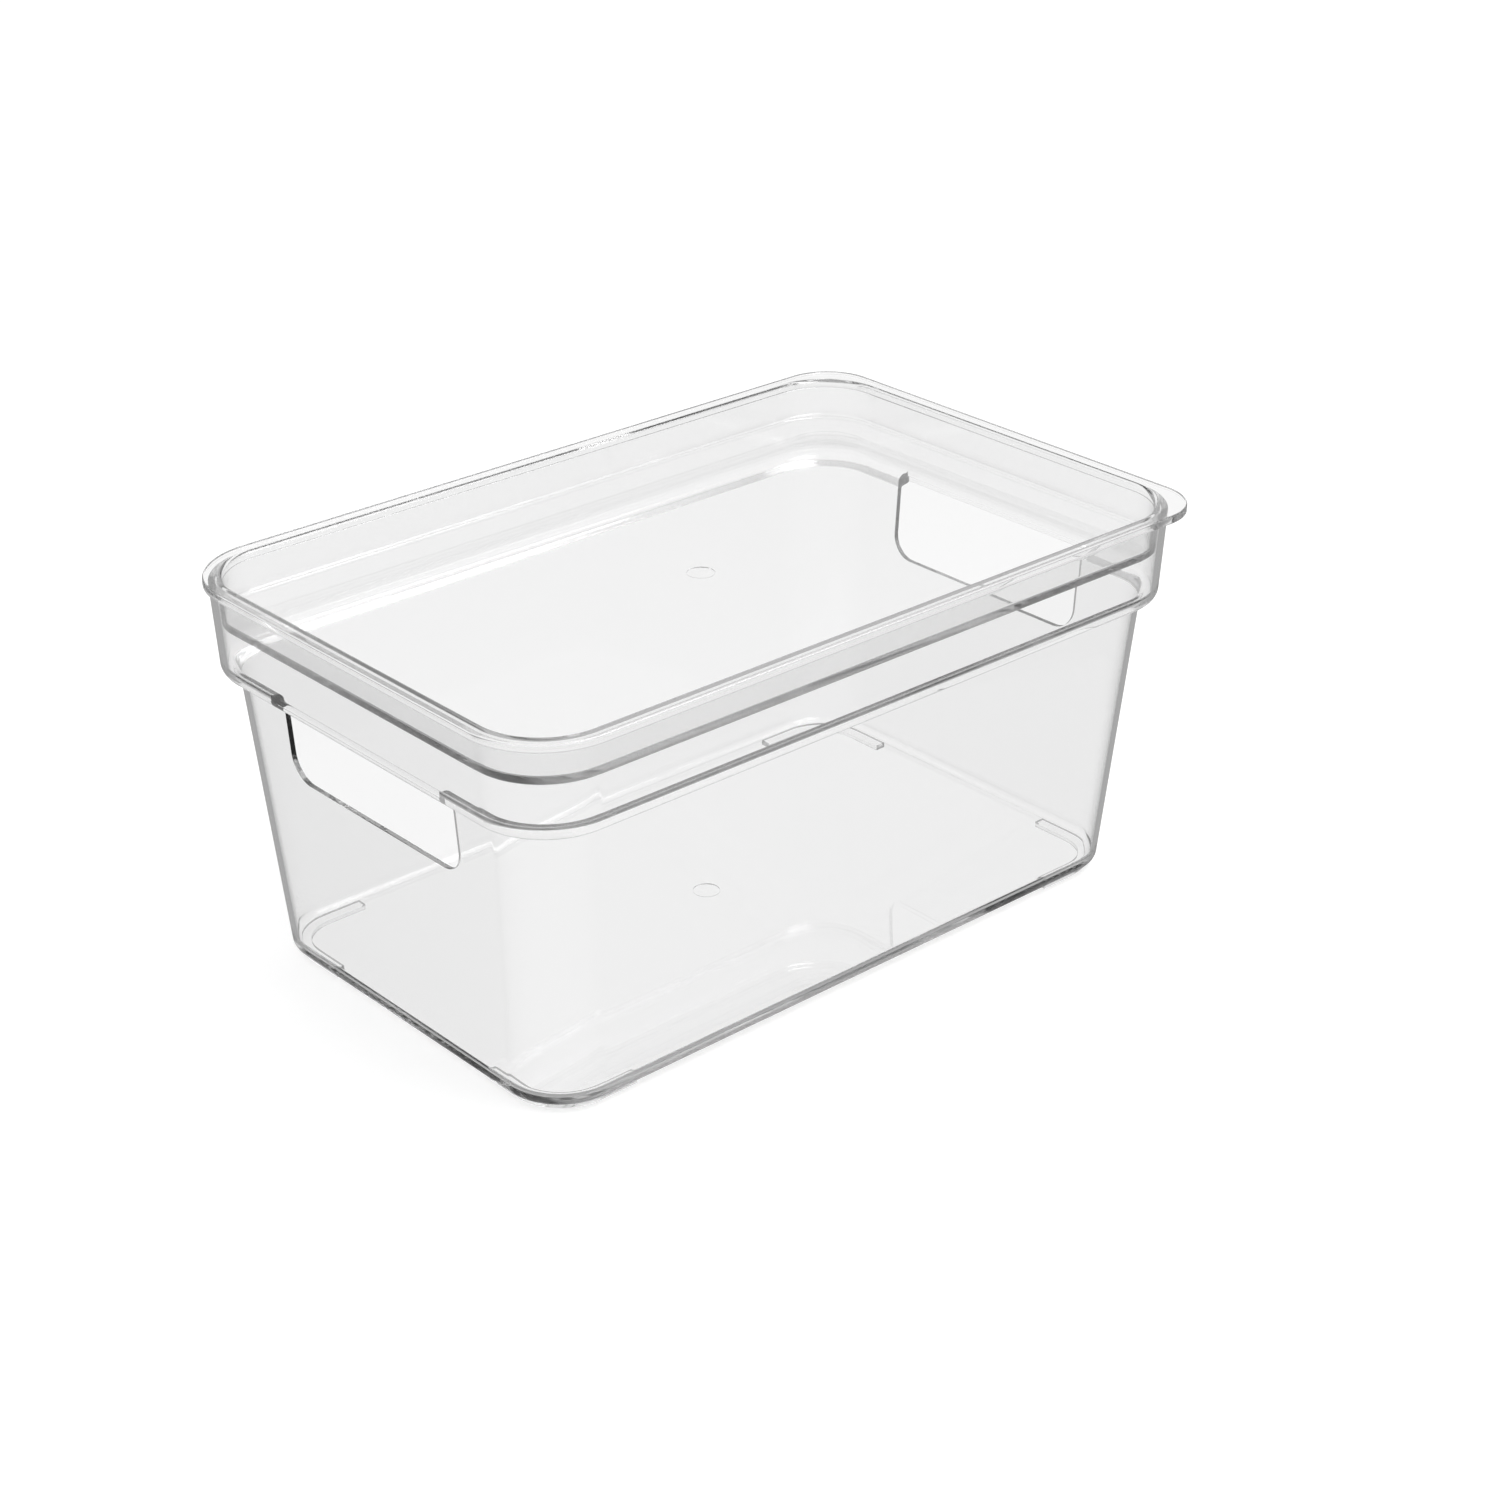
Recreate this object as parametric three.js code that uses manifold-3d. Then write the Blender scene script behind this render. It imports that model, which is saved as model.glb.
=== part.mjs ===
import * as THREE from 'three';
import { mergeVertices } from 'three/addons/utils/BufferGeometryUtils.js';
import Module from 'manifold-3d';

// Clear storage bin with a drop-in tray lid.
// Millimetres, Z up, long axis along X, lid tab at +X.
// The origin is on the ground under the middle of the lid's outline.

// Overall sizes of the closed bin
const LID_LENGTH = 263;
const LID_WIDTH = 169.5;
const TOTAL_HEIGHT = 124;

// Lid flange, the flat border that rests on the rim
const FLANGE_THICKNESS = 2.7;
const FLANGE_OVERHANG = 1.6;
const TAB_OVERHANG = 2.4;
const FLANGE_CORNER = 25.8;
const TAB_CORNER = 17;
const FLANGE_EDGE_ROUND = 0.6;

// Lid tray, the sunk middle of the lid
const LID_WALL = 1.8;
const TRAY_DEPTH = 11.8;
const PANEL_THICKNESS = 2.0;
const TRAY_MOUTH_ROUND = 1.6;
const TRAY_BOTTOM_ROUND = 1.2;
const TRAY_INSIDE_FILLET = 1.0;

// Clearances between the lid and the bin
const SEAT_CLEARANCE = 0.3;
const LID_CLEARANCE = 0.4;

// Collar, the wider band round the top of the bin
const COLLAR_WALL = 2.0;
const COLLAR_CORNER = 24.2;
const COLLAR_HEIGHT = 23.8;
const COLLAR_DRAFT = 1.4;
const RIM_ROUND = 0.5;

// Shoulder between collar and body, with a ledge inside it
const SHOULDER_STEP = 4.9;
const SHOULDER_HEIGHT = 4.8;
const SHOULDER_ROUND_STEP = 3.0;
const SHOULDER_ROUND_HEIGHT = 3.8;
const LEDGE_RISE = 0.2;
const LEDGE_FILLET = 0.8;
const LEDGE_EDGE_ROUND = 2.5;

// Body below the shoulder
const BODY_WALL = 1.6;
const BODY_DRAFT = 6.6;
const BODY_CORNER_TOP = 19.5;
const BODY_CORNER_LOW = 19.5;
const FLOOR_THICKNESS = 2.2;
const FLOOR_EDGE_ROUND = 2.5;
const FLOOR_FILLET = 3;

// Handle openings in both short ends, shut off under the collar's lip
const HANDLE_WIDTH = 80.4;
const HANDLE_DROP = 23.2;
const HANDLE_CORNER = 8;
const HANDLE_LIP = 1.3;
const HANDLE_CUT_DEPTH = 12;
const LIP_STEP_DROP = 1.4;
const LEDGE_CUT_OVER = 0.2;

// Corner feet, ribs that follow the floor's outline
const FOOT_HEIGHT = 1.8;
const FOOT_WIDTH = 3.6;
const FOOT_INSET = 2.7;
const FOOT_ARM = 30;
const FOOT_ROOT = 0.6;

// Round gate marks of the moulding, one under the floor and one under the lid panel
const GATE_DIAMETER = 8.6;
const GATE_DEPTH = 0.3;

// How far cutters reach past the face that they cut
const CUT_OVER = 1;

// Segments of the round forms
const CORNER_SEGMENTS = 14;
const EDGE_SEGMENTS = 3;
const SHOULDER_SEGMENTS = 4;
const GATE_SEGMENTS = 32;

// Levels that follow from the sizes
const FLANGE_UNDER_Z = TOTAL_HEIGHT - FLANGE_THICKNESS;
const RIM_Z = FLANGE_UNDER_Z - SEAT_CLEARANCE;
const SHOULDER_TOP_Z = RIM_Z - COLLAR_HEIGHT;
const SHOULDER_LOW_Z = SHOULDER_TOP_Z - SHOULDER_HEIGHT;
const LEDGE_Z = SHOULDER_TOP_Z + LEDGE_RISE;
const LIP_STEP_Z = LEDGE_Z - LIP_STEP_DROP;
const HANDLE_LOW_Z = SHOULDER_LOW_Z - HANDLE_DROP;
const FLOOR_TOP_Z = FOOT_HEIGHT + FLOOR_THICKNESS;
const PANEL_TOP_Z = TOTAL_HEIGHT - TRAY_DEPTH;
const PANEL_UNDER_Z = PANEL_TOP_Z - PANEL_THICKNESS;

// The collar is the lid's outline less its overhangs, so the bin sits off the middle by half the tab
const COLLAR_LENGTH = LID_LENGTH - FLANGE_OVERHANG - TAB_OVERHANG;
const COLLAR_WIDTH = LID_WIDTH - 2 * FLANGE_OVERHANG;
const BIN_X = (FLANGE_OVERHANG - TAB_OVERHANG) / 2;
const BODY_TOP_INSET = COLLAR_DRAFT + SHOULDER_STEP;

// Quarter turns for the round edges of a wall section
const DOWN = -Math.PI / 2;
const OUT = -Math.PI;
const UP = Math.PI / 2;
const IN = 0;

function mix(from, to, t) {
  return from + (to - from) * t;
}

// Outline of the bin's collar, moved in by an inset
function binOutline(inset, corner) {
  return {
    west: BIN_X - COLLAR_LENGTH / 2 + inset,
    east: BIN_X + COLLAR_LENGTH / 2 - inset,
    south: -COLLAR_WIDTH / 2 + inset,
    north: COLLAR_WIDTH / 2 - inset,
    westCorner: corner,
    eastCorner: corner,
  };
}

// How far the outer face of the collar or of the body leans in at a level
function collarInset(z) {
  return COLLAR_DRAFT * (RIM_Z - z) / COLLAR_HEIGHT;
}

function bodyShare(z) {
  return (SHOULDER_LOW_Z - z) / (SHOULDER_LOW_Z - FOOT_HEIGHT);
}

function bodyInset(z) {
  return BODY_TOP_INSET + BODY_DRAFT * bodyShare(z);
}

function bodyCorner(z) {
  return mix(BODY_CORNER_TOP, BODY_CORNER_LOW, bodyShare(z));
}

// Rings at a depth into the wall and a level, one kind for each stretch of wall
function collarRing([depth, z]) {
  const inset = collarInset(z) + depth;
  return ring(binOutline(inset, COLLAR_CORNER - inset), z);
}

function bodyRing([depth, z]) {
  return ring(binOutline(bodyInset(z) + depth, bodyCorner(z) - depth), z);
}

function trayRing([depth, z]) {
  return collarRing([COLLAR_WALL + LID_CLEARANCE + depth, z]);
}

function flangeRing([depth, z]) {
  const outline = {
    west: -LID_LENGTH / 2 + depth,
    east: LID_LENGTH / 2 - depth,
    south: -LID_WIDTH / 2 + depth,
    north: LID_WIDTH / 2 - depth,
    westCorner: FLANGE_CORNER - depth,
    eastCorner: TAB_CORNER - depth,
  };
  return ring(outline, z);
}

// Ring of the shoulder at an inset and a level
function shoulderRing(inset, z) {
  const share = (BODY_TOP_INSET - inset) / SHOULDER_STEP;
  const corner = mix(BODY_CORNER_TOP, COLLAR_CORNER - COLLAR_DRAFT, share);
  return ring(binOutline(inset, corner), z);
}

// Shoulder from the body up to the collar: a small hollow turn outward, then a large round one upward
function shoulderRings() {
  const hollowStep = SHOULDER_STEP - SHOULDER_ROUND_STEP;
  const hollowHeight = SHOULDER_HEIGHT - SHOULDER_ROUND_HEIGHT;
  const rings = [];
  for (let i = 0; i <= SHOULDER_SEGMENTS; i += 1) {
    const angle = UP * i / SHOULDER_SEGMENTS;
    const inset = BODY_TOP_INSET - hollowStep * (1 - Math.cos(angle));
    rings.push(shoulderRing(inset, SHOULDER_LOW_Z + hollowHeight * Math.sin(angle)));
  }
  for (let i = SHOULDER_SEGMENTS - 1; i >= 0; i -= 1) {
    const angle = UP * i / SHOULDER_SEGMENTS;
    const inset = COLLAR_DRAFT + SHOULDER_ROUND_STEP * (1 - Math.cos(angle));
    rings.push(shoulderRing(inset, SHOULDER_TOP_Z - SHOULDER_ROUND_HEIGHT * Math.sin(angle)));
  }
  return rings;
}

// Points of a rectangle with round corners, counter-clockwise from above
function ring(outline, z) {
  const { west, east, south, north, westCorner, eastCorner } = outline;
  const corners = [
    [east - eastCorner, south + eastCorner, eastCorner],
    [east - eastCorner, north - eastCorner, eastCorner],
    [west + westCorner, north - westCorner, westCorner],
    [west + westCorner, south + westCorner, westCorner],
  ];
  const points = [];
  corners.forEach(([x, y, radius], quarter) => {
    for (let i = 0; i <= CORNER_SEGMENTS; i += 1) {
      const angle = (quarter - 1 + i / CORNER_SEGMENTS) * Math.PI / 2;
      points.push([x + radius * Math.cos(angle), y + radius * Math.sin(angle), z]);
    }
  });
  return points;
}

// Round edge of a wall section, as pairs of depth and level
function bend(depth, z, radius, from, to) {
  const pairs = [];
  for (let i = 0; i <= EDGE_SEGMENTS; i += 1) {
    const angle = mix(from, to, i / EDGE_SEGMENTS);
    pairs.push([depth + radius * Math.cos(angle), z + radius * Math.sin(angle)]);
  }
  return pairs;
}

// Closed skin over rings that run from the underside out, up, over and down inside
function loft(rings) {
  const count = rings[0].length;
  const positions = rings.flat(2);
  const indices = [];
  for (let k = 0; k < rings.length - 1; k += 1) {
    for (let i = 0; i < count; i += 1) {
      const next = (i + 1) % count;
      const low = k * count;
      const high = low + count;
      indices.push(low + i, low + next, high + next);
      indices.push(low + i, high + next, high + i);
    }
  }
  const last = (rings.length - 1) * count;
  const underMiddle = rings.length * count;
  const topMiddle = underMiddle + 1;
  positions.push(BIN_X, 0, rings[0][0][2]);
  positions.push(BIN_X, 0, rings[rings.length - 1][0][2]);
  for (let i = 0; i < count; i += 1) {
    const next = (i + 1) % count;
    indices.push(underMiddle, next, i);
    indices.push(topMiddle, last + i, last + next);
  }
  const geometry = new THREE.BufferGeometry();
  geometry.setAttribute('position', new THREE.Float32BufferAttribute(positions, 3));
  geometry.setIndex(indices);
  return geometry;
}

const wasm = await Module();
wasm.setup();

function toSolid(geometry) {
  geometry.deleteAttribute('normal');
  geometry.deleteAttribute('uv');
  const merged = mergeVertices(geometry);
  const mesh = new wasm.Mesh({
    numProp: 3,
    vertProperties: new Float32Array(merged.attributes.position.array),
    triVerts: new Uint32Array(merged.index.array),
  });
  return new wasm.Manifold(mesh);
}

function toMesh(name, solid, material) {
  const mesh = solid.getMesh();
  const geometry = new THREE.BufferGeometry();
  geometry.setAttribute('position', new THREE.BufferAttribute(mesh.vertProperties, 3));
  geometry.setIndex(new THREE.BufferAttribute(mesh.triVerts, 1));
  geometry.computeVertexNormals();
  const result = new THREE.Mesh(geometry, material);
  result.name = name;
  return result;
}

// Bin shell: floor edge, body, shoulder, collar, rim, ledge, inside wall and floor
function binShell() {
  const rings = [];
  const floorEdge = bend(FLOOR_EDGE_ROUND, FOOT_HEIGHT + FLOOR_EDGE_ROUND, FLOOR_EDGE_ROUND, DOWN, OUT);
  rings.push(...floorEdge.map(bodyRing));
  rings.push(...shoulderRings());
  const rimLevel = RIM_Z - RIM_ROUND;
  rings.push(...bend(RIM_ROUND, rimLevel, RIM_ROUND, -OUT, UP).map(collarRing));
  rings.push(...bend(COLLAR_WALL - RIM_ROUND, rimLevel, RIM_ROUND, UP, IN).map(collarRing));
  const ledgeFillet = bend(COLLAR_WALL + LEDGE_FILLET, LEDGE_Z + LEDGE_FILLET, LEDGE_FILLET, OUT, DOWN);
  rings.push(...ledgeFillet.map(collarRing));
  const edgeLevel = LEDGE_Z - LEDGE_EDGE_ROUND;
  rings.push(...bend(BODY_WALL - LEDGE_EDGE_ROUND, edgeLevel, LEDGE_EDGE_ROUND, UP, IN).map(bodyRing));
  const floorFillet = bend(BODY_WALL + FLOOR_FILLET, FLOOR_TOP_Z + FLOOR_FILLET, FLOOR_FILLET, OUT, DOWN);
  rings.push(...floorFillet.map(bodyRing));
  return toSolid(loft(rings));
}

// Prism along X from a face of the end wall inward; side is -1 or 1 along X
function endPrism(shape, outerFace, side) {
  const geometry = new THREE.ExtrudeGeometry(shape, {
    depth: HANDLE_CUT_DEPTH,
    bevelEnabled: false,
    curveSegments: CORNER_SEGMENTS,
  });
  const axisX = new THREE.Vector3(1, 0, 0);
  const axisY = new THREE.Vector3(0, 1, 0);
  const axisZ = new THREE.Vector3(0, 0, 1);
  geometry.applyMatrix4(new THREE.Matrix4().makeBasis(axisY, axisZ, axisX));
  const start = side > 0 ? outerFace - HANDLE_CUT_DEPTH : -outerFace;
  geometry.translate(BIN_X + start, 0, 0);
  return toSolid(geometry);
}

// Cutter of one handle opening: the hole behind the collar's thin lip, and the ledge above it
function handleCutter(side) {
  const half = HANDLE_WIDTH / 2;
  const cornerLevel = HANDLE_LOW_Z + HANDLE_CORNER;
  const hole = new THREE.Shape();
  hole.moveTo(half, LIP_STEP_Z);
  hole.lineTo(-half, LIP_STEP_Z);
  hole.lineTo(-half, cornerLevel);
  hole.absarc(-half + HANDLE_CORNER, cornerLevel, HANDLE_CORNER, Math.PI, 1.5 * Math.PI);
  hole.absarc(half - HANDLE_CORNER, cornerLevel, HANDLE_CORNER, 1.5 * Math.PI, 2 * Math.PI);
  const ledgeTop = LEDGE_Z + LEDGE_FILLET + LEDGE_CUT_OVER;
  const ledge = new THREE.Shape();
  ledge.moveTo(-half, LIP_STEP_Z - CUT_OVER);
  ledge.lineTo(half, LIP_STEP_Z - CUT_OVER);
  ledge.lineTo(half, ledgeTop);
  ledge.lineTo(-half, ledgeTop);
  const lipFace = COLLAR_LENGTH / 2 - COLLAR_DRAFT - HANDLE_LIP;
  const collarFace = COLLAR_LENGTH / 2 - collarInset(LEDGE_Z) - COLLAR_WALL;
  return endPrism(hole, lipFace, side).add(endPrism(ledge, collarFace, side));
}

// One corner foot, an L of two arms round the corner; sx and sy choose the corner
function foot(sx, sy) {
  const inset = bodyInset(FOOT_HEIGHT) + FOOT_INSET;
  const outerX = COLLAR_LENGTH / 2 - inset;
  const outerY = COLLAR_WIDTH / 2 - inset;
  const outerCorner = BODY_CORNER_LOW - FOOT_INSET;
  const centreX = outerX - outerCorner;
  const centreY = outerY - outerCorner;
  const points = [];
  const add = (x, y) => points.push(new THREE.Vector2(sx * x, sy * y));
  add(outerX - FOOT_ARM, outerY);
  for (let i = 0; i <= CORNER_SEGMENTS; i += 1) {
    const angle = mix(UP, IN, i / CORNER_SEGMENTS);
    add(centreX + outerCorner * Math.cos(angle), centreY + outerCorner * Math.sin(angle));
  }
  add(outerX, outerY - FOOT_ARM);
  add(outerX - FOOT_WIDTH, outerY - FOOT_ARM);
  const innerCorner = outerCorner - FOOT_WIDTH;
  for (let i = 0; i <= CORNER_SEGMENTS; i += 1) {
    const angle = mix(IN, UP, i / CORNER_SEGMENTS);
    add(centreX + innerCorner * Math.cos(angle), centreY + innerCorner * Math.sin(angle));
  }
  add(outerX - FOOT_ARM, outerY - FOOT_WIDTH);
  const geometry = new THREE.ExtrudeGeometry(new THREE.Shape(points), {
    depth: FOOT_HEIGHT + FOOT_ROOT,
    bevelEnabled: false,
  });
  geometry.translate(BIN_X, 0, 0);
  return toSolid(geometry);
}

// Cutter of a gate mark in an underside at a level
function gateCutter(level) {
  const height = GATE_DEPTH + CUT_OVER;
  const geometry = new THREE.CylinderGeometry(GATE_DIAMETER / 2, GATE_DIAMETER / 2, height, GATE_SEGMENTS);
  geometry.rotateX(Math.PI / 2);
  geometry.translate(BIN_X, 0, level + GATE_DEPTH - height / 2);
  return toSolid(geometry);
}

function bin() {
  let solid = binShell();
  for (const side of [-1, 1]) {
    solid = solid.subtract(handleCutter(side));
    solid = solid.add(foot(side, -1));
    solid = solid.add(foot(side, 1));
  }
  return solid.subtract(gateCutter(FOOT_HEIGHT));
}

// Lid: panel underside, tray wall, flange, tray mouth, inside wall and panel
function lid() {
  const rings = [];
  const trayBottom = bend(
    TRAY_BOTTOM_ROUND, PANEL_UNDER_Z + TRAY_BOTTOM_ROUND, TRAY_BOTTOM_ROUND, DOWN, OUT);
  rings.push(...trayBottom.map(trayRing));
  rings.push(trayRing([0, FLANGE_UNDER_Z]));
  const edge = FLANGE_EDGE_ROUND;
  rings.push(...bend(edge, FLANGE_UNDER_Z + edge, edge, DOWN, OUT).map(flangeRing));
  rings.push(...bend(edge, TOTAL_HEIGHT - edge, edge, -OUT, UP).map(flangeRing));
  const mouth = TRAY_MOUTH_ROUND;
  rings.push(...bend(LID_WALL - mouth, TOTAL_HEIGHT - mouth, mouth, UP, IN).map(trayRing));
  const fillet = TRAY_INSIDE_FILLET;
  rings.push(...bend(LID_WALL + fillet, PANEL_TOP_Z + fillet, fillet, OUT, DOWN).map(trayRing));
  return toSolid(loft(rings)).subtract(gateCutter(PANEL_UNDER_Z));
}

const clearPlastic = new THREE.MeshStandardMaterial({ color: 0xe6ebee, roughness: 0.08, metalness: 0 });
const group = new THREE.Group();
group.name = 'clear_storage_bin';
group.add(toMesh('bin_body', bin(), clearPlastic));
group.add(toMesh('lid', lid(), clearPlastic));

export default group;
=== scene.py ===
"""Looks of the clear storage bin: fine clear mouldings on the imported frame, white floor, soft light."""

import math

import bmesh
import bpy
from mathutils import Matrix, Vector

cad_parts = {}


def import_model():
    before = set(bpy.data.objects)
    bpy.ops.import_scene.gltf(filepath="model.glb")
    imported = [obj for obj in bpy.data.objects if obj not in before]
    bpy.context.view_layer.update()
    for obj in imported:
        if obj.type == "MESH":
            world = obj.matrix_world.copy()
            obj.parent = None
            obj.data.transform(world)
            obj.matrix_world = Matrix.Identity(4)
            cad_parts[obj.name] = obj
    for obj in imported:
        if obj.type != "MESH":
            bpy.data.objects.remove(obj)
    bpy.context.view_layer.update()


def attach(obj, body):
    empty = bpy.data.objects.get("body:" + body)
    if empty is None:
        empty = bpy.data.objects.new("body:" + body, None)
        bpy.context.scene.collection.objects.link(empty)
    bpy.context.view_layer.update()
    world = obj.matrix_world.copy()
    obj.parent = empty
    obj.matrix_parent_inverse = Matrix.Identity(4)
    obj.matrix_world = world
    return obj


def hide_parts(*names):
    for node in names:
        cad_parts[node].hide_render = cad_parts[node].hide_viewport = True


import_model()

MM = 0.001

# Sizes in millimetres, the same as the part's source
LID_LENGTH = 263.0
LID_WIDTH = 169.5
TOTAL_HEIGHT = 124.0
FLANGE_THICKNESS = 2.7
FLANGE_OVERHANG = 1.6
TAB_OVERHANG = 2.4
FLANGE_CORNER = 25.8
TAB_CORNER = 17.0
FLANGE_EDGE_ROUND = 0.6
LID_WALL = 1.8
TRAY_DEPTH = 11.8
PANEL_THICKNESS = 2.0
TRAY_MOUTH_ROUND = 1.6
TRAY_BOTTOM_ROUND = 1.2
TRAY_INSIDE_FILLET = 1.0
SEAT_CLEARANCE = 0.3
LID_CLEARANCE = 0.4
COLLAR_WALL = 2.0
COLLAR_CORNER = 24.2
COLLAR_HEIGHT = 23.8
COLLAR_DRAFT = 1.4
RIM_ROUND = 0.5
SHOULDER_STEP = 4.9
SHOULDER_HEIGHT = 4.8
SHOULDER_ROUND_STEP = 3.0
SHOULDER_ROUND_HEIGHT = 3.8
LEDGE_RISE = 0.2
LEDGE_FILLET = 0.8
LEDGE_EDGE_ROUND = 2.5
BODY_WALL = 1.6
BODY_DRAFT = 6.6
BODY_CORNER_TOP = 19.5
BODY_CORNER_LOW = 19.5
FLOOR_THICKNESS = 2.2
FLOOR_EDGE_ROUND = 2.5
FLOOR_FILLET = 3.0
HANDLE_WIDTH = 80.4
HANDLE_DROP = 23.2
HANDLE_CORNER = 8.0
HANDLE_LIP = 1.3
HANDLE_CUT_DEPTH = 12.0
LIP_STEP_DROP = 1.4
LEDGE_CUT_OVER = 0.2
FOOT_HEIGHT = 1.8
FOOT_WIDTH = 3.6
FOOT_INSET = 2.7
FOOT_ARM = 30.0
FOOT_ROOT = 0.6
GATE_DIAMETER = 8.6
GATE_DEPTH = 0.3
CUT_OVER = 1.0

# Fineness of the looks: steps in a quarter turn, points round a gate mark, how close a holding
# ring stands to a bend in millimetres, and the angle in degrees from which an edge is sharp
CORNER_STEPS = 36
BEND_STEPS = 8
SHOULDER_STEPS = 10
CUT_STEPS = 16
GATE_POINTS = 48
HOLD = 0.35
SHARP_ANGLE = 32.0

# Plastic: clear, with a grey that grows with depth (density per metre), flow waves (their depth in
# millimetres) and uneven polish (stops of noise and roughness)
IOR = 1.54
CLEAR = 0.982
DEPTH_GREY = 7.0
DEPTH_COLOUR = 0.5
WAVE_SCALE = 28.0
WAVE_DETAIL = 2.0
WAVE_STRENGTH = 0.02
WAVE_DEPTH = 0.6
POLISH_SCALE = 60.0
POLISH_DETAIL = 4.0
POLISH = [(0.35, 0.003), (0.7, 0.014)]

# Studio: rays that only pass through the plastic see white, and rays that it reflects see a grey
# floor and a grey room, given by stops from straight down (0) to straight up (1)
WHITE = 1.0
GREY_FLOOR = 0.4
ROOM = [(0.5, 0.42), (0.73, 0.96)]

# Paper of the floor, as the camera sees it: colour, own glow, half side and level in millimetres
PAPER = 0.4
PAPER_GLOW = 0.7
PAPER_HALF = 6000.0
PAPER_Z = -0.3

# Lamp, in metres and watts
LAMP_PLACE = (0.25, -0.35, 0.9)
LAMP_AIM = (0, 0, 0.06)
LAMP_SIZE = (0.8, 0.5)
LAMP_WATTS = 5.0

# Light runs a long way inside clear walls
BOUNCES = 128

# Camera fitted to the photograph: degrees, millimetres from the bin's middle, lens in photo pixels
CAMERA_AZIMUTH = -41.576
CAMERA_ELEVATION = 26.677
CAMERA_ROLL = -0.231
CAMERA_TARGET = (6.28, -14.72, 55.61)
CAMERA_DISTANCE = 918.61
LENS_PIXELS = 3009.39
PHOTO_PIXELS = 1500
SENSOR_WIDTH = 36.0
CLIP_NEAR = 0.01
CLIP_FAR = 50.0

# Levels and lengths that follow from the sizes
FLANGE_UNDER_Z = TOTAL_HEIGHT - FLANGE_THICKNESS
RIM_Z = FLANGE_UNDER_Z - SEAT_CLEARANCE
SHOULDER_TOP_Z = RIM_Z - COLLAR_HEIGHT
SHOULDER_LOW_Z = SHOULDER_TOP_Z - SHOULDER_HEIGHT
LEDGE_Z = SHOULDER_TOP_Z + LEDGE_RISE
LIP_STEP_Z = LEDGE_Z - LIP_STEP_DROP
HANDLE_LOW_Z = SHOULDER_LOW_Z - HANDLE_DROP
FLOOR_TOP_Z = FOOT_HEIGHT + FLOOR_THICKNESS
PANEL_TOP_Z = TOTAL_HEIGHT - TRAY_DEPTH
PANEL_UNDER_Z = PANEL_TOP_Z - PANEL_THICKNESS
COLLAR_LENGTH = LID_LENGTH - FLANGE_OVERHANG - TAB_OVERHANG
COLLAR_WIDTH = LID_WIDTH - 2 * FLANGE_OVERHANG
BIN_X = (FLANGE_OVERHANG - TAB_OVERHANG) / 2
BODY_TOP_INSET = COLLAR_DRAFT + SHOULDER_STEP

# Directions in a section, where depth grows towards the middle of the bin
QUARTER = math.pi / 2
DOWN, OUT, UP, IN = -QUARTER, -math.pi, QUARTER, 0.0


def mix(a, b, t):
    return a + (b - a) * t


def arc(cx, cy, radius, start, end, steps):
    """Pairs along an arc, both ends included."""
    turns = [mix(start, end, i / steps) for i in range(steps + 1)]
    return [(cx + radius * math.cos(a), cy + radius * math.sin(a)) for a in turns]


def ring(west, east, south, north, west_corner, east_corner, z):
    """Counter-clockwise rounded rectangle, with holding points beside each corner."""
    corners = [
        (east - east_corner, south + east_corner, east_corner),
        (east - east_corner, north - east_corner, east_corner),
        (west + west_corner, north - west_corner, west_corner),
        (west + west_corner, south + west_corner, west_corner),
    ]
    pairs = []
    for quarter, (x, y, radius) in enumerate(corners):
        first, last = (quarter - 1) * QUARTER, quarter * QUARTER
        pairs.append((x + radius * math.cos(first) + HOLD * math.sin(first),
                      y + radius * math.sin(first) - HOLD * math.cos(first)))
        pairs += arc(x, y, radius, first, last, CORNER_STEPS)
        pairs.append((x + radius * math.cos(last) - HOLD * math.sin(last),
                      y + radius * math.sin(last) + HOLD * math.cos(last)))
    return [(x, y, z) for x, y in pairs]


def bin_ring(inset, corner, z):
    half_x, half_y = COLLAR_LENGTH / 2 - inset, COLLAR_WIDTH / 2 - inset
    return ring(BIN_X - half_x, BIN_X + half_x, -half_y, half_y, corner, corner, z)


def collar_inset(z):
    return COLLAR_DRAFT * (RIM_Z - z) / COLLAR_HEIGHT


def body_share(z):
    return (SHOULDER_LOW_Z - z) / (SHOULDER_LOW_Z - FOOT_HEIGHT)


def body_inset(z):
    return BODY_TOP_INSET + BODY_DRAFT * body_share(z)


def collar_ring(depth, z):
    inset = collar_inset(z) + depth
    return bin_ring(inset, COLLAR_CORNER - inset, z)


def body_ring(depth, z):
    corner = mix(BODY_CORNER_TOP, BODY_CORNER_LOW, body_share(z))
    return bin_ring(body_inset(z) + depth, corner - depth, z)


def tray_ring(depth, z):
    return collar_ring(COLLAR_WALL + LID_CLEARANCE + depth, z)


def flange_ring(depth, z):
    half_x, half_y = LID_LENGTH / 2 - depth, LID_WIDTH / 2 - depth
    return ring(-half_x, half_x, -half_y, half_y, FLANGE_CORNER - depth, TAB_CORNER - depth, z)


def shoulder_ring(inset, z):
    share = (BODY_TOP_INSET - inset) / SHOULDER_STEP
    return bin_ring(inset, mix(BODY_CORNER_TOP, COLLAR_CORNER - COLLAR_DRAFT, share), z)


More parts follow.
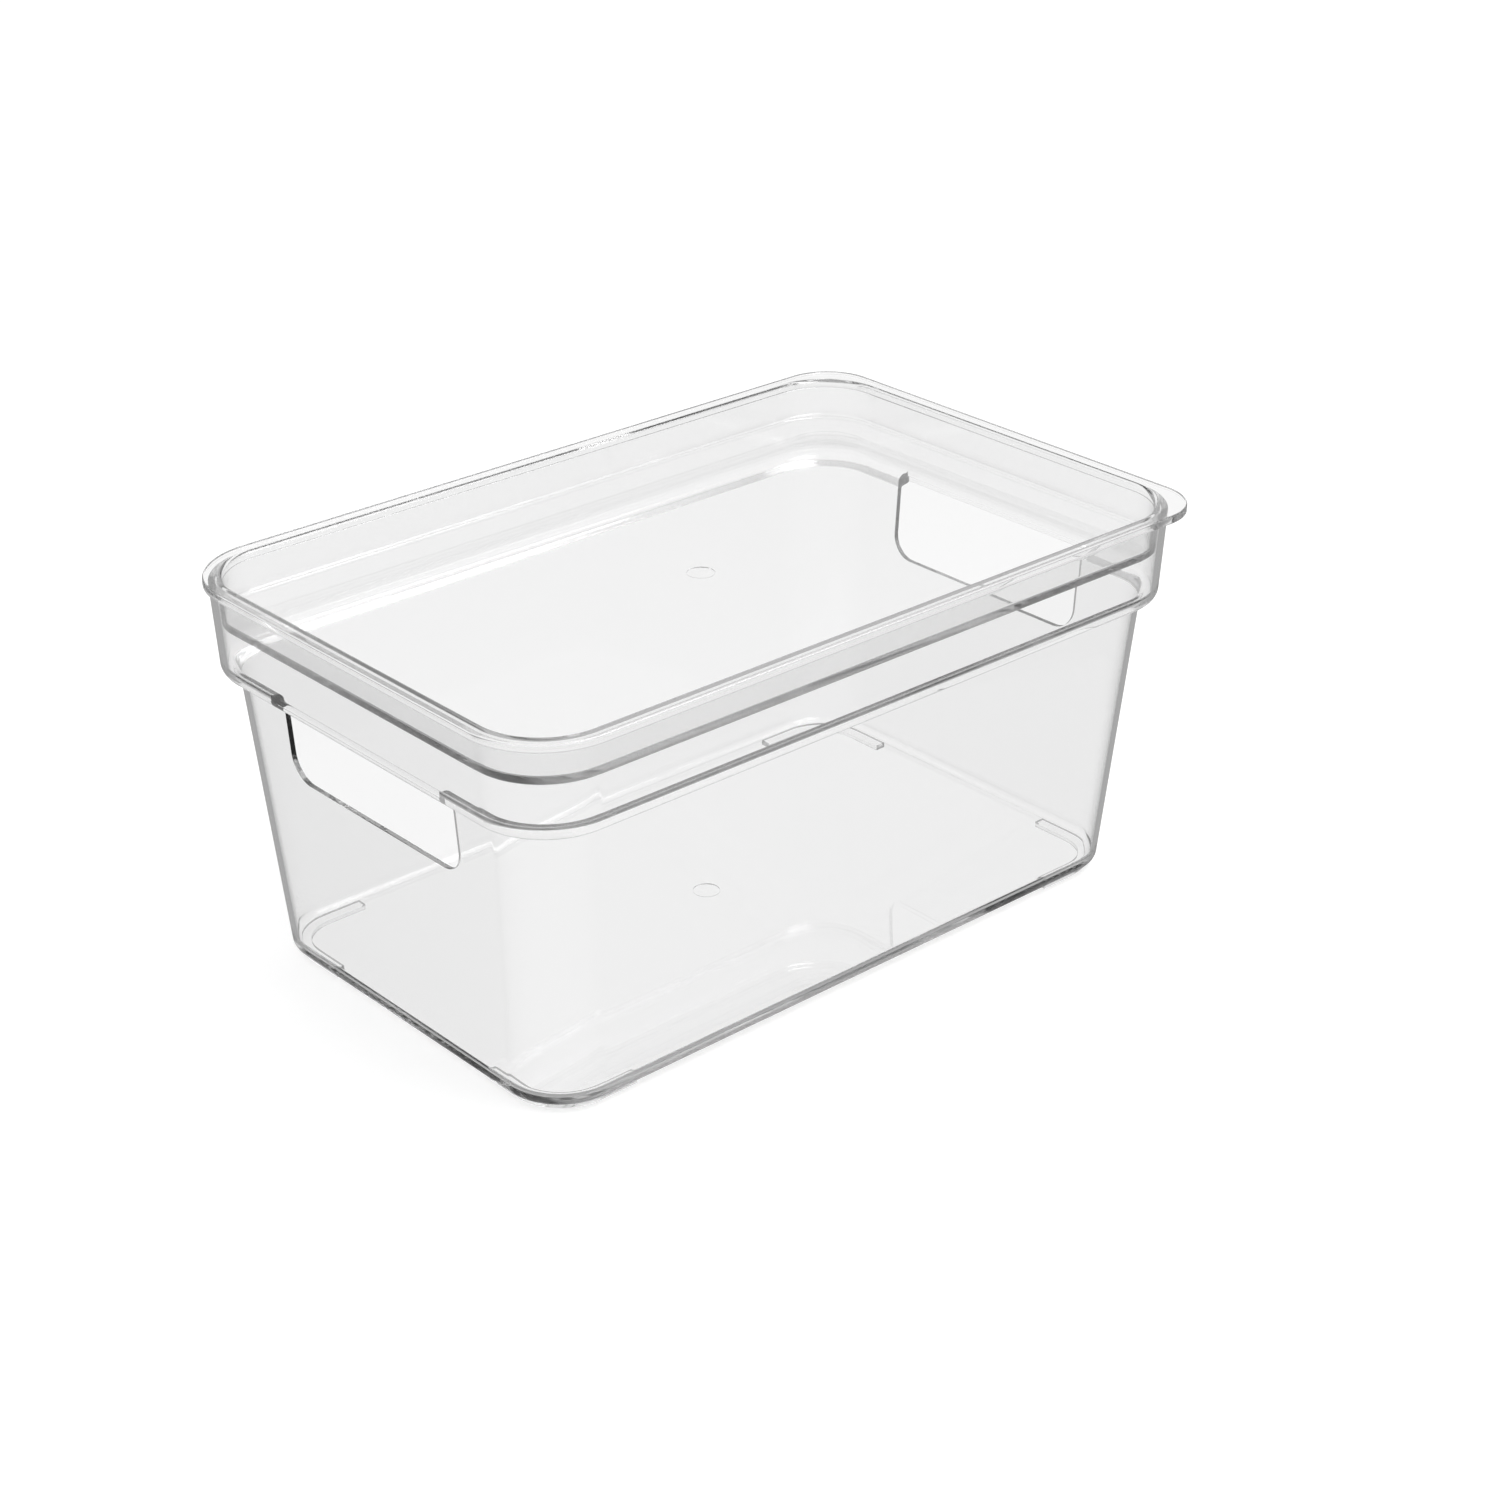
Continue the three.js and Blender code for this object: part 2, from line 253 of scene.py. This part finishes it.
def shoulder_rings():
    """From the body up: a hollow quarter turn, then a rounded one into the collar."""
    hollow_step = SHOULDER_STEP - SHOULDER_ROUND_STEP
    hollow_height = SHOULDER_HEIGHT - SHOULDER_ROUND_HEIGHT
    turns = [QUARTER * i / SHOULDER_STEPS for i in range(SHOULDER_STEPS + 1)]
    rings = [shoulder_ring(BODY_TOP_INSET - hollow_step * (1 - math.cos(a)),
                           SHOULDER_LOW_Z + hollow_height * math.sin(a)) for a in turns]
    rings += [shoulder_ring(COLLAR_DRAFT + SHOULDER_ROUND_STEP * (1 - math.cos(a)),
                            SHOULDER_TOP_Z - SHOULDER_ROUND_HEIGHT * math.sin(a))
              for a in reversed(turns[:-1])]
    return rings


def bend(ring_at, depth, z, radius, start, end):
    """Rings round a bend of the section; ring_at makes the ring for a depth and a height."""
    return [ring_at(*pair) for pair in arc(depth, z, radius, start, end, BEND_STEPS)]


def mesh_object(name, verts, faces):
    mesh = bpy.data.meshes.new(name)
    mesh.from_pydata([(x * MM, y * MM, z * MM) for x, y, z in verts], [], faces)
    obj = bpy.data.objects.new(name, mesh)
    bpy.context.scene.collection.objects.link(obj)
    return obj


def loft(name, rings):
    """Closed skin over the rings, from the underside out, up, over and down inside."""
    n = len(rings[0])
    verts = [p for r in rings for p in r]
    faces = [tuple(reversed(range(n)))]
    for k in range(len(rings) - 1):
        for i in range(n):
            j = (i + 1) % n
            faces.append((k * n + i, k * n + j, (k + 1) * n + j, (k + 1) * n + i))
    last = (len(rings) - 1) * n
    faces.append(tuple(range(last, last + n)))
    return mesh_object(name, verts, faces)


def prism(name, outline, low, high, place):
    """Closed prism over an outline of pairs; place turns a pair and a height into a point."""
    n = len(outline)
    verts = [place(p, low) for p in outline] + [place(p, high) for p in outline]
    faces = [tuple(reversed(range(n))), tuple(range(n, 2 * n))]
    for i in range(n):
        j = (i + 1) % n
        faces.append((i, j, n + j, n + i))
    obj = mesh_object(name, verts, faces)
    bm = bmesh.new()
    bm.from_mesh(obj.data)
    bmesh.ops.recalc_face_normals(bm, faces=bm.faces)
    bm.to_mesh(obj.data)
    bm.free()
    return obj


def combine(obj, tool, operation):
    """Cut or join with a tool object, which is then removed."""
    modifier = obj.modifiers.new("step", "BOOLEAN")
    modifier.operation = operation
    modifier.solver = "EXACT"
    modifier.object = tool
    graph = bpy.context.evaluated_depsgraph_get()
    result = bpy.data.meshes.new_from_object(obj.evaluated_get(graph))
    obj.modifiers.clear()
    old = obj.data
    obj.data = result
    bpy.data.meshes.remove(old)
    bpy.data.objects.remove(tool)


def smooth(obj):
    """Smooth faces, sharp at the cut edges."""
    bm = bmesh.new()
    bm.from_mesh(obj.data)
    for face in bm.faces:
        face.smooth = True
    limit = math.radians(SHARP_ANGLE)
    for edge in bm.edges:
        edge.smooth = len(edge.link_faces) == 2 and edge.calc_face_angle() < limit
    bm.to_mesh(obj.data)
    bm.free()


def handle_cutters(side):
    """The hole behind the collar's thin lip, and the ledge above it."""
    half = HANDLE_WIDTH / 2
    corner_y, corner_z = half - HANDLE_CORNER, HANDLE_LOW_Z + HANDLE_CORNER
    hole = [(half, LIP_STEP_Z), (-half, LIP_STEP_Z)]
    for y, start in ((-corner_y, 2 * QUARTER), (corner_y, 3 * QUARTER)):
        hole += arc(y, corner_z, HANDLE_CORNER, start, start + QUARTER, CUT_STEPS)
    lip_face = COLLAR_LENGTH / 2 - COLLAR_DRAFT - HANDLE_LIP
    low, high = LIP_STEP_Z - CUT_OVER, LEDGE_Z + LEDGE_FILLET + LEDGE_CUT_OVER
    ledge = [(-half, low), (half, low), (half, high), (-half, high)]
    collar_face = COLLAR_LENGTH / 2 - collar_inset(LEDGE_Z) - COLLAR_WALL
    return [prism("cut", outline, face - HANDLE_CUT_DEPTH, face,
                  lambda p, h: (BIN_X + side * h, p[0], p[1]))
            for outline, face in ((hole, lip_face), (ledge, collar_face))]


def foot(sx, sy):
    """Corner foot: a bar that follows the body's corner, with an arm along each side."""
    inset = body_inset(FOOT_HEIGHT) + FOOT_INSET
    outer_x, outer_y = COLLAR_LENGTH / 2 - inset, COLLAR_WIDTH / 2 - inset
    outer = BODY_CORNER_LOW - FOOT_INSET
    inner = outer - FOOT_WIDTH
    cx, cy = outer_x - outer, outer_y - outer
    outline = [(outer_x - FOOT_ARM, outer_y)]
    outline += arc(cx, cy, outer, QUARTER, 0.0, CUT_STEPS)
    outline += [(outer_x, outer_y - FOOT_ARM), (outer_x - FOOT_WIDTH, outer_y - FOOT_ARM)]
    outline += arc(cx, cy, inner, 0.0, QUARTER, CUT_STEPS)
    outline.append((outer_x - FOOT_ARM, outer_y - FOOT_WIDTH))
    return prism("foot", outline, 0.0, FOOT_HEIGHT + FOOT_ROOT,
                 lambda p, h: (BIN_X + sx * p[0], sy * p[1], h))


def gate_cutter(level):
    """Shallow round mark in the underside at a level."""
    radius = GATE_DIAMETER / 2
    turns = [math.tau * i / GATE_POINTS for i in range(GATE_POINTS)]
    outline = [(radius * math.cos(a), radius * math.sin(a)) for a in turns]
    return prism("gate", outline, level - CUT_OVER, level + GATE_DEPTH,
                 lambda p, h: (BIN_X + p[0], p[1], h))


def make_bin():
    edge_z = FOOT_HEIGHT + FLOOR_EDGE_ROUND
    rim_z = RIM_Z - RIM_ROUND
    fillet_z = LEDGE_Z + LEDGE_FILLET
    ledge_z = LEDGE_Z - LEDGE_EDGE_ROUND
    floor_z = FLOOR_TOP_Z + FLOOR_FILLET
    rings = [body_ring(FLOOR_EDGE_ROUND + HOLD, FOOT_HEIGHT)]
    rings += bend(body_ring, FLOOR_EDGE_ROUND, edge_z, FLOOR_EDGE_ROUND, DOWN, OUT)
    rings += [body_ring(0, edge_z + HOLD), body_ring(0, SHOULDER_LOW_Z - HOLD)]
    rings += shoulder_rings()
    rings += [collar_ring(0, SHOULDER_TOP_Z + HOLD), collar_ring(0, rim_z - HOLD)]
    rings += bend(collar_ring, RIM_ROUND, rim_z, RIM_ROUND, -OUT, UP)
    rings.append(collar_ring(COLLAR_WALL / 2, RIM_Z))
    rings += bend(collar_ring, COLLAR_WALL - RIM_ROUND, rim_z, RIM_ROUND, UP, IN)
    rings += [collar_ring(COLLAR_WALL, rim_z - HOLD), collar_ring(COLLAR_WALL, fillet_z + HOLD)]
    rings += bend(collar_ring, COLLAR_WALL + LEDGE_FILLET, fillet_z, LEDGE_FILLET, OUT, DOWN)
    rings += bend(body_ring, BODY_WALL - LEDGE_EDGE_ROUND, ledge_z, LEDGE_EDGE_ROUND, UP, IN)
    rings += [body_ring(BODY_WALL, ledge_z - HOLD), body_ring(BODY_WALL, floor_z + HOLD)]
    rings += bend(body_ring, BODY_WALL + FLOOR_FILLET, floor_z, FLOOR_FILLET, OUT, DOWN)
    rings.append(body_ring(BODY_WALL + FLOOR_FILLET + HOLD, FLOOR_TOP_Z))
    obj = loft("clear_bin", rings)
    for sx in (-1, 1):
        for cutter in handle_cutters(sx):
            combine(obj, cutter, "DIFFERENCE")
        for sy in (-1, 1):
            combine(obj, foot(sx, sy), "UNION")
    combine(obj, gate_cutter(FOOT_HEIGHT), "DIFFERENCE")
    smooth(obj)
    return obj


def make_lid():
    bottom, edge = TRAY_BOTTOM_ROUND, FLANGE_EDGE_ROUND
    mouth, fillet = TRAY_MOUTH_ROUND, TRAY_INSIDE_FILLET
    bottom_z = PANEL_UNDER_Z + bottom
    mouth_z = TOTAL_HEIGHT - mouth
    fillet_z = PANEL_TOP_Z + fillet
    rings = [tray_ring(bottom + HOLD, PANEL_UNDER_Z)]
    rings += bend(tray_ring, bottom, bottom_z, bottom, DOWN, OUT)
    rings += [tray_ring(0, bottom_z + HOLD), tray_ring(0, FLANGE_UNDER_Z - HOLD)]
    rings += [tray_ring(0, FLANGE_UNDER_Z), flange_ring(edge + HOLD, FLANGE_UNDER_Z)]
    rings += bend(flange_ring, edge, FLANGE_UNDER_Z + edge, edge, DOWN, OUT)
    rings.append(flange_ring(0, (FLANGE_UNDER_Z + TOTAL_HEIGHT) / 2))
    rings += bend(flange_ring, edge, TOTAL_HEIGHT - edge, edge, -OUT, UP)
    rings += [flange_ring(edge + HOLD, TOTAL_HEIGHT), tray_ring(LID_WALL - mouth - HOLD, TOTAL_HEIGHT)]
    rings += bend(tray_ring, LID_WALL - mouth, mouth_z, mouth, UP, IN)
    rings += [tray_ring(LID_WALL, mouth_z - HOLD), tray_ring(LID_WALL, fillet_z + HOLD)]
    rings += bend(tray_ring, LID_WALL + fillet, fillet_z, fillet, OUT, DOWN)
    rings.append(tray_ring(LID_WALL + fillet + HOLD, PANEL_TOP_Z))
    obj = loft("clear_lid", rings)
    combine(obj, gate_cutter(PANEL_UNDER_Z), "DIFFERENCE")
    smooth(obj)
    return obj


def grey(level):
    return (level, level, level, 1)


def noise(tree, where, scale, detail):
    node = tree.nodes.new("ShaderNodeTexNoise")
    node.inputs["Scale"].default_value = scale
    node.inputs["Detail"].default_value = detail
    tree.links.new(where, node.inputs["Vector"])
    return node.outputs["Fac"]


def ramp(tree, value, stops):
    """Eased greys between two stops, each a place and a level."""
    node = tree.nodes.new("ShaderNodeValToRGB")
    node.color_ramp.interpolation = "EASE"
    for element, (place, level) in zip(node.color_ramp.elements, stops):
        element.position = place
        element.color = grey(level)
    tree.links.new(value, node.inputs[0])
    return node.outputs["Color"]


def calc(tree, operation, *values):
    """One step of arithmetic; a value is a number or the output of another node."""
    node = tree.nodes.new("ShaderNodeMath")
    node.operation = operation
    for socket, value in zip(node.inputs, values):
        if isinstance(value, float):
            socket.default_value = value
        else:
            tree.links.new(value, socket)
    return node.outputs[0]


def clear_plastic(name):
    """Clear polished plastic: a hint of grey in its depth, faint flow waves and uneven polish."""
    material = bpy.data.materials.new(name)
    material.use_nodes = True
    tree = material.node_tree
    shader = tree.nodes["Principled BSDF"]
    shader.inputs["Base Color"].default_value = grey(CLEAR)
    shader.inputs["Transmission Weight"].default_value = 1.0
    shader.inputs["IOR"].default_value = IOR
    where = tree.nodes.new("ShaderNodeTexCoord").outputs["Object"]
    bump = tree.nodes.new("ShaderNodeBump")
    bump.inputs["Strength"].default_value = WAVE_STRENGTH
    bump.inputs["Distance"].default_value = WAVE_DEPTH * MM
    tree.links.new(noise(tree, where, WAVE_SCALE, WAVE_DETAIL), bump.inputs["Height"])
    tree.links.new(bump.outputs["Normal"], shader.inputs["Normal"])
    polish = ramp(tree, noise(tree, where, POLISH_SCALE, POLISH_DETAIL), POLISH)
    tree.links.new(polish, shader.inputs["Roughness"])
    volume = tree.nodes.new("ShaderNodeVolumeAbsorption")
    volume.inputs["Color"].default_value = grey(DEPTH_COLOUR)
    volume.inputs["Density"].default_value = DEPTH_GREY
    tree.links.new(volume.outputs["Volume"], tree.nodes["Material Output"].inputs["Volume"])
    return material


def passing(tree, path):
    """1 for camera rays and for rays that were refracted but never reflected, else 0."""
    seen = calc(tree, "MAXIMUM", path.outputs["Is Camera Ray"], path.outputs["Is Transmission Ray"])
    straight = calc(tree, "LESS_THAN", path.outputs["Glossy Depth"], 0.5)
    return calc(tree, "MULTIPLY", seen, straight)


def pick(tree, factor, first, second):
    """The first shader where the factor is 0, the second where it is 1."""
    node = tree.nodes.new("ShaderNodeMixShader")
    for socket, value in zip(node.inputs, (factor, first, second)):
        tree.links.new(value, socket)
    return node.outputs[0]


def glow(tree, level):
    node = tree.nodes.new("ShaderNodeEmission")
    node.inputs["Color"].default_value = grey(level)
    return node.outputs[0]


def white_floor():
    """White with the bin's shadow to the camera, white through the bin, grey in its reflections."""
    corners = [(-1, -1), (1, -1), (1, 1), (-1, 1)]
    floor = mesh_object("floor", [(x * PAPER_HALF, y * PAPER_HALF, PAPER_Z) for x, y in corners],
                        [(0, 1, 2, 3)])
    material = bpy.data.materials.new("white_sweep")
    material.use_nodes = True
    tree = material.node_tree
    tree.nodes.clear()
    out = tree.nodes.new("ShaderNodeOutputMaterial")
    paper = tree.nodes.new("ShaderNodeBsdfDiffuse")
    paper.inputs["Color"].default_value = grey(PAPER)
    lit = tree.nodes.new("ShaderNodeAddShader")
    tree.links.new(paper.outputs[0], lit.inputs[0])
    tree.links.new(glow(tree, PAPER_GLOW), lit.inputs[1])
    path = tree.nodes.new("ShaderNodeLightPath")
    behind = pick(tree, passing(tree, path), glow(tree, GREY_FLOOR), glow(tree, WHITE))
    shown = pick(tree, path.outputs["Is Camera Ray"], behind, lit.outputs[0])
    tree.links.new(shown, out.inputs["Surface"])
    floor.data.materials.append(material)


def world():
    """White behind the bin, and the grey room in its reflections, lighter overhead."""
    scene = bpy.context.scene
    scene.world = bpy.data.worlds.new("studio")
    scene.world.use_nodes = True
    tree = scene.world.node_tree
    tree.nodes.clear()
    out = tree.nodes.new("ShaderNodeOutputWorld")
    room = tree.nodes.new("ShaderNodeBackground")
    upward = tree.nodes.new("ShaderNodeVectorMath")
    upward.operation = "DOT_PRODUCT"
    tree.links.new(tree.nodes.new("ShaderNodeTexCoord").outputs["Generated"], upward.inputs[0])
    upward.inputs[1].default_value = (0, 0, 1)
    height = calc(tree, "MULTIPLY_ADD", upward.outputs["Value"], 0.5, 0.5)
    tree.links.new(ramp(tree, height, ROOM), room.inputs["Color"])
    white = tree.nodes.new("ShaderNodeBackground")
    white.inputs["Color"].default_value = grey(WHITE)
    path = tree.nodes.new("ShaderNodeLightPath")
    shown = pick(tree, passing(tree, path), room.outputs[0], white.outputs[0])
    tree.links.new(shown, out.inputs["Surface"])


def soft_lamp():
    data = bpy.data.lights.new("top_box", "AREA")
    data.shape = "RECTANGLE"
    data.size, data.size_y = LAMP_SIZE
    data.energy = LAMP_WATTS
    obj = bpy.data.objects.new("top_box", data)
    obj.location = LAMP_PLACE
    aim = Vector(LAMP_AIM) - Vector(LAMP_PLACE)
    obj.rotation_euler = aim.to_track_quat("-Z", "Y").to_euler()
    bpy.context.scene.collection.objects.link(obj)


def camera():
    azimuth, elevation = math.radians(CAMERA_AZIMUTH), math.radians(CAMERA_ELEVATION)
    roll = math.radians(CAMERA_ROLL)
    x, y, z = CAMERA_TARGET
    target = Vector((x + BIN_X, y, z)) * MM
    back = Vector((math.sin(azimuth) * math.cos(elevation),
                   -math.cos(azimuth) * math.cos(elevation), math.sin(elevation)))
    right = Vector((math.cos(azimuth), math.sin(azimuth), 0))
    up = back.cross(right)
    right, up = (math.cos(roll) * right + math.sin(roll) * up,
                 math.cos(roll) * up - math.sin(roll) * right)
    data = bpy.data.cameras.new("camera")
    data.sensor_fit = "HORIZONTAL"
    data.sensor_width = SENSOR_WIDTH
    data.lens = LENS_PIXELS / PHOTO_PIXELS * SENSOR_WIDTH
    data.clip_start, data.clip_end = CLIP_NEAR, CLIP_FAR
    obj = bpy.data.objects.new("camera", data)
    matrix = Matrix((right, up, back)).transposed().to_4x4()
    matrix.translation = target + CAMERA_DISTANCE * MM * back
    obj.matrix_world = matrix
    bpy.context.scene.collection.objects.link(obj)
    bpy.context.scene.camera = obj


def main():
    plastic = clear_plastic("clear_plastic")
    pieces = (
        (make_bin(), "bin", "bin_body", "clear_bin"),
        (make_lid(), "lid", "lid", "clear_lid"),
    )
    for obj, body, node, slot in pieces:
        obj.data.materials.clear()
        obj.data.materials.append(plastic)
        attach(obj, body)
        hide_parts(node)
    white_floor()
    world()
    soft_lamp()
    camera()
    scene = bpy.context.scene
    scene.view_settings.view_transform = "Standard"
    scene.cycles.max_bounces = BOUNCES
    scene.cycles.glossy_bounces = BOUNCES
    scene.cycles.transmission_bounces = BOUNCES


main()
